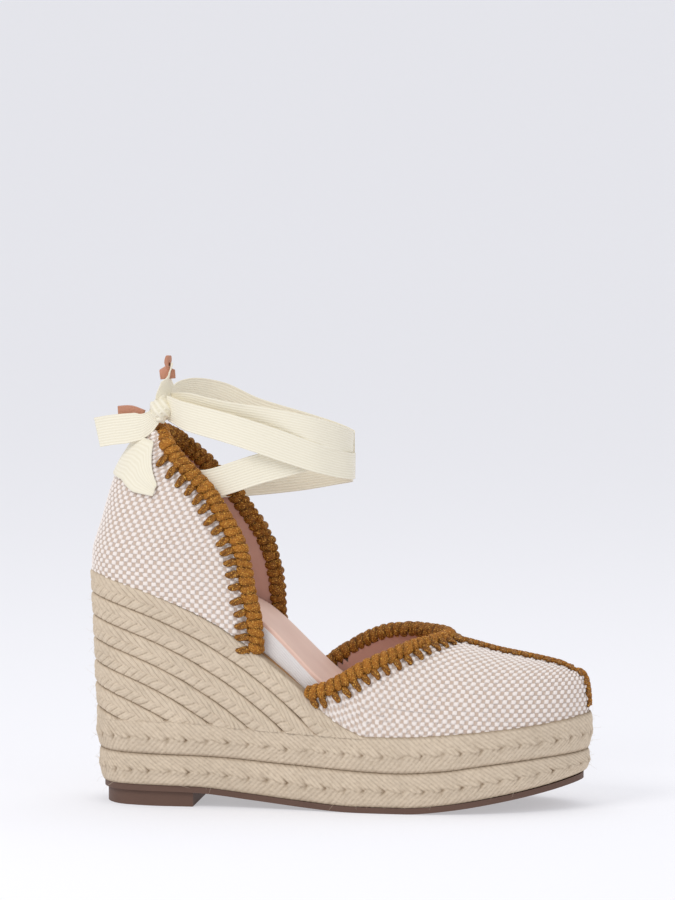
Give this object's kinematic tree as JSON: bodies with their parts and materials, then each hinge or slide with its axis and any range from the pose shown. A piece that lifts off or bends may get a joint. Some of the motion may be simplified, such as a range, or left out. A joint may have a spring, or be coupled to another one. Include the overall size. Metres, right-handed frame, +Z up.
{
  "type": "wedge espadrille sandal",
  "caption": "High wedge espadrille sandal with jute-wrapped sole, woven toe cap and heel counter edged in crochet, and a knotted ankle ribbon.",
  "frame": {"origin": "on the floor, under the middle of the overall box", "axes": "+X from heel to toe, +Y from the outer to the inner side of a right foot, +Z up"},
  "size_m": [0.2353, 0.0835, 0.2137],
  "materials": {
    "board": "insole board with foam",
    "brown_rubber": "matt brown rubber",
    "cork_core": "light cork or EVA core, hidden by the jute",
    "crochet": "brown crochet yarn with a gold thread",
    "jute": "braided natural jute",
    "pink_leather": "soft matt pink leather",
    "pink_lining": "dusty pink lining",
    "ribbon": "cream cotton tape",
    "tan_leather": "tan leather",
    "white_cloth": "white cotton edge",
    "woven_cloth": "plain weave in white and beige"
  },
  "bodies": {
    "sandal": {"counter_cloth": "woven_cloth", "counter_edging": "crochet", "counter_lining": "pink_lining", "counter_stitches": "crochet", "heel_lift": "brown_rubber", "insole_binding": "white_cloth", "insole_board": "board", "outsole": "brown_rubber", "platform_braid_lower": "jute", "platform_braid_upper": "jute", "platform_core": "cork_core", "ribbon_back": "ribbon", "ribbon_knot": "ribbon", "ribbon_lower_wrap": "ribbon", "ribbon_upper_wrap": "ribbon", "sock_lining": "pink_leather", "vamp_edging": "crochet", "vamp_lateral": "woven_cloth", "vamp_lining_lateral": "pink_lining", "vamp_lining_medial": "pink_lining", "vamp_medial": "woven_cloth", "vamp_seam": "crochet", "vamp_stitches": "crochet", "wedge_braid_1": "jute", "wedge_braid_2": "jute", "wedge_braid_3": "jute", "wedge_braid_4": "jute", "wedge_braid_5": "jute", "wedge_braid_6": "jute", "wedge_braid_7": "jute", "wedge_core": "cork_core"},
    "side_tail": {"ribbon_tail_side": "ribbon", "tail_tip_side": "tan_leather"},
    "up_tail": {"ribbon_tail_up": "ribbon", "tail_tip_up": "tan_leather"}
  },
  "joints": [
    {"name": "side_tail_bend", "type": "hinge", "parent": "sandal", "child": "side_tail", "pos_m": [-0.0888, -0.007, 0.1885], "axis": [-0.5, 0, 0.866], "range_deg": [-25, 25]},
    {"name": "up_tail_bend", "type": "hinge", "parent": "sandal", "child": "up_tail", "pos_m": [-0.081, -0.006, 0.1975], "axis": [1, 0, 0], "range_deg": [-25, 25]}
  ]
}
